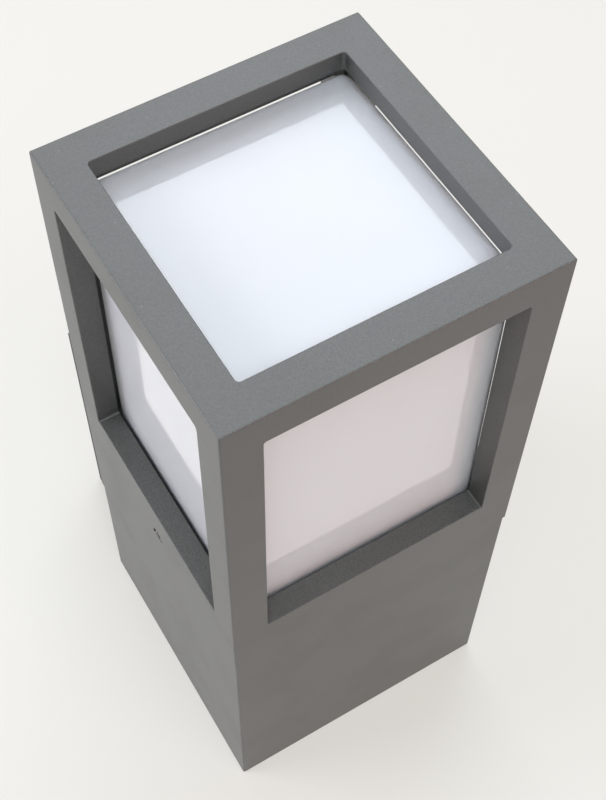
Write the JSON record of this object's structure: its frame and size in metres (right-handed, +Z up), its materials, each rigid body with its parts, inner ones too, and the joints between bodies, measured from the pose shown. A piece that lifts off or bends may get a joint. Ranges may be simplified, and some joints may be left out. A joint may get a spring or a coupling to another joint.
{
  "type": "outdoor wall light",
  "caption": "Square outdoor wall light with a windowed metal lantern head over an opal box diffuser, on a square base with a hollow wall arm.",
  "frame": {"origin": "middle of the base's flat underside, on the axis of the square head", "axes": "+Z up; +Y towards the wall, so the light's front faces -Y; +X to the right of the light seen from the front"},
  "size_m": [0.1, 0.1372, 0.241],
  "materials": {
    "anthracite_paint": "die-cast, with a fine textured powder coat",
    "opal_plastic": "glossy opal, lets light through",
    "seal_rubber": "matte silicone",
    "gasket_foam": "closed-cell foam",
    "zinc_steel": "zinc plated sheet",
    "screw_steel": "stainless steel",
    "set_screw_steel": "blackened stainless steel",
    "porcelain": "glazed",
    "holder_brass": "nickel-washed brass",
    "lamp_cap_metal": "nickel plated",
    "lamp_insulator": "black glass",
    "lamp_plastic": "white plastic",
    "lamp_opal": "opal",
    "block_nylon": "natural nylon",
    "lead_brown": "brown insulation",
    "lead_blue": "blue insulation",
    "lead_green_yellow": "green and yellow insulation"
  },
  "bodies": {
    "base": {"base_body": "anthracite_paint", "carrier_tray": "zinc_steel", "tray_screws": "screw_steel", "head_seal": "seal_rubber", "holder_strap": "zinc_steel", "strap_screws": "screw_steel", "holder_body": "porcelain", "holder_shell": "holder_brass", "holder_contact": "holder_brass", "holder_screws": "screw_steel", "terminal_block": "block_nylon", "terminal_screws": "holder_brass", "block_screws": "screw_steel", "live_lead": "lead_brown", "neutral_lead": "lead_blue", "earth_lead": "lead_green_yellow", "earth_lug": "holder_brass", "earth_screw": "screw_steel", "cable_grommet": "seal_rubber", "wall_bracket": "zinc_steel", "arm_screws": "screw_steel", "wall_gasket": "gasket_foam"},
    "head": {"lantern_frame": "anthracite_paint", "diffuser": "opal_plastic", "diffuser_seal": "seal_rubber", "retaining_ring": "zinc_steel", "ring_screws": "screw_steel"},
    "lamp": {"lamp_cap": "lamp_cap_metal", "lamp_contact": "lamp_insulator", "lamp_body": "lamp_plastic", "lamp_tube": "lamp_opal"},
    "screw_left": {"set_screw_left": "set_screw_steel"},
    "screw_right": {"set_screw_right": "set_screw_steel"}
  },
  "joints": [
    {"name": "head_lift", "type": "slide", "parent": "base", "child": "head", "axis": [0, 0, 1], "range_m": [0, 0.12]},
    {"name": "lamp_turn", "type": "hinge", "parent": "base", "child": "lamp", "pos_m": [0, 0, 0.1], "axis": [0, 0, 1], "continuous": true},
    {"name": "set_screw_left_turn", "type": "hinge", "parent": "base", "child": "screw_left", "pos_m": [-0.0464, 0, 0.1076], "axis": [-1, 0, 0], "continuous": true},
    {"name": "set_screw_right_turn", "type": "hinge", "parent": "base", "child": "screw_right", "pos_m": [0.0464, 0, 0.1076], "axis": [1, 0, 0], "continuous": true}
  ]
}
